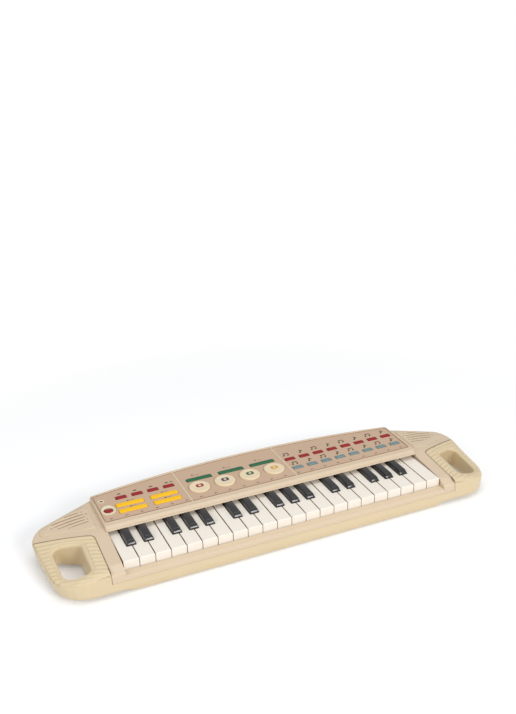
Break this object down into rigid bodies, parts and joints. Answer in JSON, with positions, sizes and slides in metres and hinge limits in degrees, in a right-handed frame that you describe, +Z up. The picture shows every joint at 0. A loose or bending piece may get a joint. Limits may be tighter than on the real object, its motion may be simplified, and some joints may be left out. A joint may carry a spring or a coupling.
{
  "type": "portable keyboard",
  "caption": "Portable toy keyboard with hinged keys, drum pads, push buttons, a sliding power switch and a ribbed carrying handle at each end.",
  "frame": {"origin": "on the table, under the middle of the object's box", "axes": "+X along the keys from the low notes to the high ones, +Y from the player to the back, +Z up"},
  "size_m": [0.601, 0.1776, 0.0468],
  "materials": {
    "cream": "satin",
    "beige": "satin",
    "tan": "printed film, satin",
    "ivory": "gloss",
    "charcoal": "satin",
    "red": "satin",
    "blue_grey": "satin",
    "yellow": "satin",
    "green": "satin",
    "pad_cream": "matt",
    "board": "solder mask",
    "lamp": "gloss",
    "rail": "plain",
    "speaker": "plain"
  },
  "bodies": {
    "case": {"lower_case": "cream", "upper_case": "beige", "control_panel": "tan", "battery_door": "cream", "circuit_board": "board", "power_lamp": "lamp", "contact_board": "board", "key_rail": "rail", "speaker_left": "speaker", "speaker_right": "speaker"},
    "white_key_01": {"white_key_01": "ivory"},
    "white_key_02": {"white_key_02": "ivory"},
    "white_key_03": {"white_key_03": "ivory"},
    "white_key_04": {"white_key_04": "ivory"},
    "white_key_05": {"white_key_05": "ivory"},
    "white_key_06": {"white_key_06": "ivory"},
    "white_key_07": {"white_key_07": "ivory"},
    "white_key_08": {"white_key_08": "ivory"},
    "white_key_09": {"white_key_09": "ivory"},
    "white_key_10": {"white_key_10": "ivory"},
    "white_key_11": {"white_key_11": "ivory"},
    "white_key_12": {"white_key_12": "ivory"},
    "white_key_13": {"white_key_13": "ivory"},
    "white_key_14": {"white_key_14": "ivory"},
    "white_key_15": {"white_key_15": "ivory"},
    "white_key_16": {"white_key_16": "ivory"},
    "white_key_17": {"white_key_17": "ivory"},
    "white_key_18": {"white_key_18": "ivory"},
    "white_key_19": {"white_key_19": "ivory"},
    "white_key_20": {"white_key_20": "ivory"},
    "white_key_21": {"white_key_21": "ivory"},
    "white_key_22": {"white_key_22": "ivory"},
    "black_key_01": {"black_key_01": "charcoal"},
    "black_key_02": {"black_key_02": "charcoal"},
    "black_key_03": {"black_key_03": "charcoal"},
    "black_key_04": {"black_key_04": "charcoal"},
    "black_key_05": {"black_key_05": "charcoal"},
    "black_key_06": {"black_key_06": "charcoal"},
    "black_key_07": {"black_key_07": "charcoal"},
    "black_key_08": {"black_key_08": "charcoal"},
    "black_key_09": {"black_key_09": "charcoal"},
    "black_key_10": {"black_key_10": "charcoal"},
    "black_key_11": {"black_key_11": "charcoal"},
    "black_key_12": {"black_key_12": "charcoal"},
    "black_key_13": {"black_key_13": "charcoal"},
    "black_key_14": {"black_key_14": "charcoal"},
    "black_key_15": {"black_key_15": "charcoal"},
    "left_red_buttons": {"left_red_buttons": "red"},
    "yellow_bars_left": {"yellow_bars_left": "yellow"},
    "yellow_bars_right": {"yellow_bars_right": "yellow"},
    "green_bar_left": {"green_bar_left": "green"},
    "green_bar_middle": {"green_bar_middle": "green"},
    "green_bar_right": {"green_bar_right": "green"},
    "right_red_buttons": {"right_red_buttons": "red"},
    "right_blue_buttons": {"right_blue_buttons": "blue_grey"},
    "drum_pad_1": {"drum_pad_1": "pad_cream"},
    "drum_pad_2": {"drum_pad_2": "pad_cream"},
    "drum_pad_3": {"drum_pad_3": "pad_cream"},
    "drum_pad_4": {"drum_pad_4": "pad_cream"},
    "power_switch": {"power_switch": "red"}
  },
  "joints": [
    {"name": "white_key_01_hinge", "type": "hinge", "parent": "case", "child": "white_key_01", "pos_m": [-0.20475, 0.01165, 0.027], "axis": [1, 0, 0], "range_deg": [0, 2.3], "stiffness_Nm_per_rad": 0.8, "springref_deg": -2.86},
    {"name": "white_key_02_hinge", "type": "hinge", "parent": "case", "child": "white_key_02", "pos_m": [-0.18525, 0.01165, 0.027], "axis": [1, 0, 0], "range_deg": [0, 2.3], "stiffness_Nm_per_rad": 0.8, "springref_deg": -2.86},
    {"name": "white_key_03_hinge", "type": "hinge", "parent": "case", "child": "white_key_03", "pos_m": [-0.16575, 0.01165, 0.027], "axis": [1, 0, 0], "range_deg": [0, 2.3], "stiffness_Nm_per_rad": 0.8, "springref_deg": -2.86},
    {"name": "white_key_04_hinge", "type": "hinge", "parent": "case", "child": "white_key_04", "pos_m": [-0.14625, 0.01165, 0.027], "axis": [1, 0, 0], "range_deg": [0, 2.3], "stiffness_Nm_per_rad": 0.8, "springref_deg": -2.86},
    {"name": "white_key_05_hinge", "type": "hinge", "parent": "case", "child": "white_key_05", "pos_m": [-0.12675, 0.01165, 0.027], "axis": [1, 0, 0], "range_deg": [0, 2.3], "stiffness_Nm_per_rad": 0.8, "springref_deg": -2.86},
    {"name": "white_key_06_hinge", "type": "hinge", "parent": "case", "child": "white_key_06", "pos_m": [-0.10725, 0.01165, 0.027], "axis": [1, 0, 0], "range_deg": [0, 2.3], "stiffness_Nm_per_rad": 0.8, "springref_deg": -2.86},
    {"name": "white_key_07_hinge", "type": "hinge", "parent": "case", "child": "white_key_07", "pos_m": [-0.08775, 0.01165, 0.027], "axis": [1, 0, 0], "range_deg": [0, 2.3], "stiffness_Nm_per_rad": 0.8, "springref_deg": -2.86},
    {"name": "white_key_08_hinge", "type": "hinge", "parent": "case", "child": "white_key_08", "pos_m": [-0.06825, 0.01165, 0.027], "axis": [1, 0, 0], "range_deg": [0, 2.3], "stiffness_Nm_per_rad": 0.8, "springref_deg": -2.86},
    {"name": "white_key_09_hinge", "type": "hinge", "parent": "case", "child": "white_key_09", "pos_m": [-0.04875, 0.01165, 0.027], "axis": [1, 0, 0], "range_deg": [0, 2.3], "stiffness_Nm_per_rad": 0.8, "springref_deg": -2.86},
    {"name": "white_key_10_hinge", "type": "hinge", "parent": "case", "child": "white_key_10", "pos_m": [-0.02925, 0.01165, 0.027], "axis": [1, 0, 0], "range_deg": [0, 2.3], "stiffness_Nm_per_rad": 0.8, "springref_deg": -2.86},
    {"name": "white_key_11_hinge", "type": "hinge", "parent": "case", "child": "white_key_11", "pos_m": [-0.00975, 0.01165, 0.027], "axis": [1, 0, 0], "range_deg": [0, 2.3], "stiffness_Nm_per_rad": 0.8, "springref_deg": -2.86},
    {"name": "white_key_12_hinge", "type": "hinge", "parent": "case", "child": "white_key_12", "pos_m": [0.00975, 0.01165, 0.027], "axis": [1, 0, 0], "range_deg": [0, 2.3], "stiffness_Nm_per_rad": 0.8, "springref_deg": -2.86},
    {"name": "white_key_13_hinge", "type": "hinge", "parent": "case", "child": "white_key_13", "pos_m": [0.02925, 0.01165, 0.027], "axis": [1, 0, 0], "range_deg": [0, 2.3], "stiffness_Nm_per_rad": 0.8, "springref_deg": -2.86},
    {"name": "white_key_14_hinge", "type": "hinge", "parent": "case", "child": "white_key_14", "pos_m": [0.04875, 0.01165, 0.027], "axis": [1, 0, 0], "range_deg": [0, 2.3], "stiffness_Nm_per_rad": 0.8, "springref_deg": -2.86},
    {"name": "white_key_15_hinge", "type": "hinge", "parent": "case", "child": "white_key_15", "pos_m": [0.06825, 0.01165, 0.027], "axis": [1, 0, 0], "range_deg": [0, 2.3], "stiffness_Nm_per_rad": 0.8, "springref_deg": -2.86},
    {"name": "white_key_16_hinge", "type": "hinge", "parent": "case", "child": "white_key_16", "pos_m": [0.08775, 0.01165, 0.027], "axis": [1, 0, 0], "range_deg": [0, 2.3], "stiffness_Nm_per_rad": 0.8, "springref_deg": -2.86},
    {"name": "white_key_17_hinge", "type": "hinge", "parent": "case", "child": "white_key_17", "pos_m": [0.10725, 0.01165, 0.027], "axis": [1, 0, 0], "range_deg": [0, 2.3], "stiffness_Nm_per_rad": 0.8, "springref_deg": -2.86},
    {"name": "white_key_18_hinge", "type": "hinge", "parent": "case", "child": "white_key_18", "pos_m": [0.12675, 0.01165, 0.027], "axis": [1, 0, 0], "range_deg": [0, 2.3], "stiffness_Nm_per_rad": 0.8, "springref_deg": -2.86},
    {"name": "white_key_19_hinge", "type": "hinge", "parent": "case", "child": "white_key_19", "pos_m": [0.14625, 0.01165, 0.027], "axis": [1, 0, 0], "range_deg": [0, 2.3], "stiffness_Nm_per_rad": 0.8, "springref_deg": -2.86},
    {"name": "white_key_20_hinge", "type": "hinge", "parent": "case", "child": "white_key_20", "pos_m": [0.16575, 0.01165, 0.027], "axis": [1, 0, 0], "range_deg": [0, 2.3], "stiffness_Nm_per_rad": 0.8, "springref_deg": -2.86},
    {"name": "white_key_21_hinge", "type": "hinge", "parent": "case", "child": "white_key_21", "pos_m": [0.18525, 0.01165, 0.027], "axis": [1, 0, 0], "range_deg": [0, 2.3], "stiffness_Nm_per_rad": 0.8, "springref_deg": -2.86},
    {"name": "white_key_22_hinge", "type": "hinge", "parent": "case", "child": "white_key_22", "pos_m": [0.20475, 0.01165, 0.027], "axis": [1, 0, 0], "range_deg": [0, 2.3], "stiffness_Nm_per_rad": 0.8, "springref_deg": -2.86},
    {"name": "black_key_01_hinge", "type": "hinge", "parent": "case", "child": "black_key_01", "pos_m": [-0.1956, 0.01165, 0.027], "axis": [1, 0, 0], "range_deg": [0, 2.3], "stiffness_Nm_per_rad": 0.8, "springref_deg": -2.86},
    {"name": "black_key_02_hinge", "type": "hinge", "parent": "case", "child": "black_key_02", "pos_m": [-0.1737, 0.01165, 0.027], "axis": [1, 0, 0], "range_deg": [0, 2.3], "stiffness_Nm_per_rad": 0.8, "springref_deg": -2.86},
    {"name": "black_key_03_hinge", "type": "hinge", "parent": "case", "child": "black_key_03", "pos_m": [-0.1384, 0.01165, 0.027], "axis": [1, 0, 0], "range_deg": [0, 2.3], "stiffness_Nm_per_rad": 0.8, "springref_deg": -2.86},
    {"name": "black_key_04_hinge", "type": "hinge", "parent": "case", "child": "black_key_04", "pos_m": [-0.1169, 0.01165, 0.027], "axis": [1, 0, 0], "range_deg": [0, 2.3], "stiffness_Nm_per_rad": 0.8, "springref_deg": -2.86},
    {"name": "black_key_05_hinge", "type": "hinge", "parent": "case", "child": "black_key_05", "pos_m": [-0.0956, 0.01165, 0.027], "axis": [1, 0, 0], "range_deg": [0, 2.3], "stiffness_Nm_per_rad": 0.8, "springref_deg": -2.86},
    {"name": "black_key_06_hinge", "type": "hinge", "parent": "case", "child": "black_key_06", "pos_m": [-0.0591, 0.01165, 0.027], "axis": [1, 0, 0], "range_deg": [0, 2.3], "stiffness_Nm_per_rad": 0.8, "springref_deg": -2.86},
    {"name": "black_key_07_hinge", "type": "hinge", "parent": "case", "child": "black_key_07", "pos_m": [-0.0372, 0.01165, 0.027], "axis": [1, 0, 0], "range_deg": [0, 2.3], "stiffness_Nm_per_rad": 0.8, "springref_deg": -2.86},
    {"name": "black_key_08_hinge", "type": "hinge", "parent": "case", "child": "black_key_08", "pos_m": [-0.0019, 0.01165, 0.027], "axis": [1, 0, 0], "range_deg": [0, 2.3], "stiffness_Nm_per_rad": 0.8, "springref_deg": -2.86},
    {"name": "black_key_09_hinge", "type": "hinge", "parent": "case", "child": "black_key_09", "pos_m": [0.0196, 0.01165, 0.027], "axis": [1, 0, 0], "range_deg": [0, 2.3], "stiffness_Nm_per_rad": 0.8, "springref_deg": -2.86},
    {"name": "black_key_10_hinge", "type": "hinge", "parent": "case", "child": "black_key_10", "pos_m": [0.0409, 0.01165, 0.027], "axis": [1, 0, 0], "range_deg": [0, 2.3], "stiffness_Nm_per_rad": 0.8, "springref_deg": -2.86},
    {"name": "black_key_11_hinge", "type": "hinge", "parent": "case", "child": "black_key_11", "pos_m": [0.0774, 0.01165, 0.027], "axis": [1, 0, 0], "range_deg": [0, 2.3], "stiffness_Nm_per_rad": 0.8, "springref_deg": -2.86},
    {"name": "black_key_12_hinge", "type": "hinge", "parent": "case", "child": "black_key_12", "pos_m": [0.0993, 0.01165, 0.027], "axis": [1, 0, 0], "range_deg": [0, 2.3], "stiffness_Nm_per_rad": 0.8, "springref_deg": -2.86},
    {"name": "black_key_13_hinge", "type": "hinge", "parent": "case", "child": "black_key_13", "pos_m": [0.1346, 0.01165, 0.027], "axis": [1, 0, 0], "range_deg": [0, 2.3], "stiffness_Nm_per_rad": 0.8, "springref_deg": -2.86},
    {"name": "black_key_14_hinge", "type": "hinge", "parent": "case", "child": "black_key_14", "pos_m": [0.1561, 0.01165, 0.027], "axis": [1, 0, 0], "range_deg": [0, 2.3], "stiffness_Nm_per_rad": 0.8, "springref_deg": -2.86},
    {"name": "black_key_15_hinge", "type": "hinge", "parent": "case", "child": "black_key_15", "pos_m": [0.1774, 0.01165, 0.027], "axis": [1, 0, 0], "range_deg": [0, 2.3], "stiffness_Nm_per_rad": 0.8, "springref_deg": -2.86},
    {"name": "left_red_buttons_press", "type": "slide", "parent": "case", "child": "left_red_buttons", "axis": [0, 0, -1], "range_m": [0, 0.0012], "stiffness_N_per_m": 800, "springref_m": -0.0015},
    {"name": "yellow_bars_left_press", "type": "slide", "parent": "case", "child": "yellow_bars_left", "axis": [0, 0, -1], "range_m": [0, 0.0012], "stiffness_N_per_m": 800, "springref_m": -0.0015},
    {"name": "yellow_bars_right_press", "type": "slide", "parent": "case", "child": "yellow_bars_right", "axis": [0, 0, -1], "range_m": [0, 0.0012], "stiffness_N_per_m": 800, "springref_m": -0.0015},
    {"name": "green_bar_left_press", "type": "slide", "parent": "case", "child": "green_bar_left", "axis": [0, 0, -1], "range_m": [0, 0.0012], "stiffness_N_per_m": 800, "springref_m": -0.0015},
    {"name": "green_bar_middle_press", "type": "slide", "parent": "case", "child": "green_bar_middle", "axis": [0, 0, -1], "range_m": [0, 0.0012], "stiffness_N_per_m": 800, "springref_m": -0.0015},
    {"name": "green_bar_right_press", "type": "slide", "parent": "case", "child": "green_bar_right", "axis": [0, 0, -1], "range_m": [0, 0.0012], "stiffness_N_per_m": 800, "springref_m": -0.0015},
    {"name": "right_red_buttons_press", "type": "slide", "parent": "case", "child": "right_red_buttons", "axis": [0, 0, -1], "range_m": [0, 0.0012], "stiffness_N_per_m": 800, "springref_m": -0.0015},
    {"name": "right_blue_buttons_press", "type": "slide", "parent": "case", "child": "right_blue_buttons", "axis": [0, 0, -1], "range_m": [0, 0.0012], "stiffness_N_per_m": 800, "springref_m": -0.0015},
    {"name": "drum_pad_1_press", "type": "slide", "parent": "case", "child": "drum_pad_1", "axis": [0, 0, -1], "range_m": [0, 0.0015], "stiffness_N_per_m": 800, "springref_m": -0.002},
    {"name": "drum_pad_2_press", "type": "slide", "parent": "case", "child": "drum_pad_2", "axis": [0, 0, -1], "range_m": [0, 0.0015], "stiffness_N_per_m": 800, "springref_m": -0.002},
    {"name": "drum_pad_3_press", "type": "slide", "parent": "case", "child": "drum_pad_3", "axis": [0, 0, -1], "range_m": [0, 0.0015], "stiffness_N_per_m": 800, "springref_m": -0.002},
    {"name": "drum_pad_4_press", "type": "slide", "parent": "case", "child": "drum_pad_4", "axis": [0, 0, -1], "range_m": [0, 0.0015], "stiffness_N_per_m": 800, "springref_m": -0.002},
    {"name": "power_switch_slide", "type": "slide", "parent": "case", "child": "power_switch", "axis": [0, 1, 0], "range_m": [0, 0.0035]}
  ]
}
